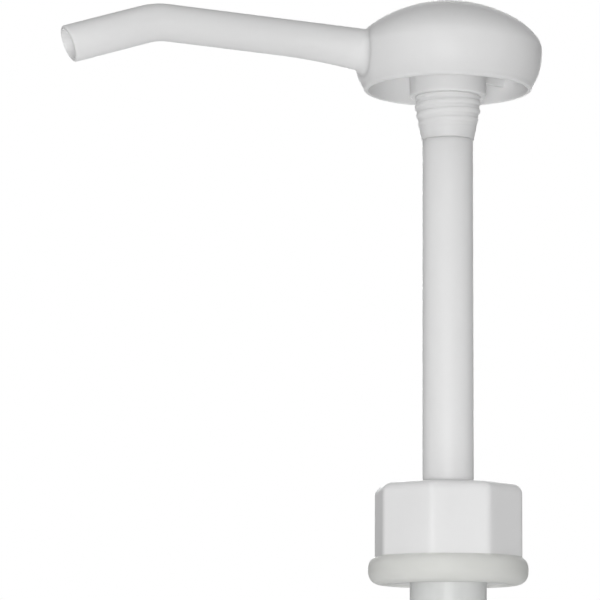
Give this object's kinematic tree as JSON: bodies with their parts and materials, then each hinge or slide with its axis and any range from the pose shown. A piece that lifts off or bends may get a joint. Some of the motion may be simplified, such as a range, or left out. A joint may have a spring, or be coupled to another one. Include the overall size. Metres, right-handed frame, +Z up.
{
  "type": "condiment pump dispenser",
  "caption": "Lock-down hand pump for a gallon condiment jug, with a mushroom head, long bent spout, hollow stem, eight-sided screw closure, sprung piston barrel and dip tube.",
  "frame": {"origin": "centre of the gasket's underside, where the jug's neck seals, on the pump's axis", "axes": "+Z up the pump's axis through the head, -X along the spout, +Y completes a right-handed frame"},
  "size_m": [0.149, 0.0576, 0.45],
  "materials": {
    "head_plastic": "moulded white polypropylene, soft sheen",
    "stem_plastic": "moulded white polypropylene, smooth",
    "closure_plastic": "moulded white polypropylene, satin",
    "collar_plastic": "moulded white polypropylene, satin",
    "barrel_plastic": "moulded natural polypropylene, milky",
    "tube_plastic": "extruded natural polyethylene, milky",
    "piston_plastic": "moulded natural polypropylene",
    "piston_rubber": "pale elastomer",
    "seal_rubber": "black elastomer",
    "gasket_foam": "pale foamed liner",
    "ball_steel": "polished stainless steel",
    "spring_steel": "drawn stainless wire"
  },
  "bodies": {
    "barrel": {"barrel": "barrel_plastic", "chaplet": "collar_plastic", "stem_wiper": "seal_rubber", "neck_gasket": "gasket_foam", "return_spring": "spring_steel", "inlet_cage": "piston_plastic", "foot_valve": "barrel_plastic", "foot_seal_ring": "seal_rubber", "dip_tube": "tube_plastic"},
    "closure": {"closure": "closure_plastic"},
    "piston": {"piston_carrier": "piston_plastic", "piston_seal": "piston_rubber", "outlet_cage": "piston_plastic"},
    "plunger": {"stem": "stem_plastic", "stem_seal_ring": "seal_rubber", "lock_sleeve": "stem_plastic", "nozzle": "head_plastic", "head_cap": "head_plastic"},
    "inlet_ball": {"inlet_ball": "ball_steel"},
    "outlet_ball": {"outlet_ball": "ball_steel"}
  },
  "joints": [
    {"name": "closure_spin", "type": "hinge", "parent": "barrel", "child": "closure", "pos_m": [0, 0, 0], "axis": [0, 0, 1], "continuous": true},
    {"name": "pump_stroke", "type": "slide", "parent": "barrel", "child": "piston", "axis": [0, 0, -1], "range_m": [0, 0.1175], "stiffness_N_per_m": 100, "springref_m": -0.08, "deforming": ["return_spring"]},
    {"name": "head_swivel", "type": "hinge", "parent": "piston", "child": "plunger", "pos_m": [0, 0, 0], "axis": [0, 0, 1], "continuous": true},
    {"name": "outlet_ball_lift", "type": "slide", "parent": "piston", "child": "outlet_ball", "axis": [0, 0, 1], "range_m": [0, 0.0025]},
    {"name": "inlet_ball_lift", "type": "slide", "parent": "barrel", "child": "inlet_ball", "axis": [0, 0, 1], "range_m": [0, 0.003]}
  ]
}
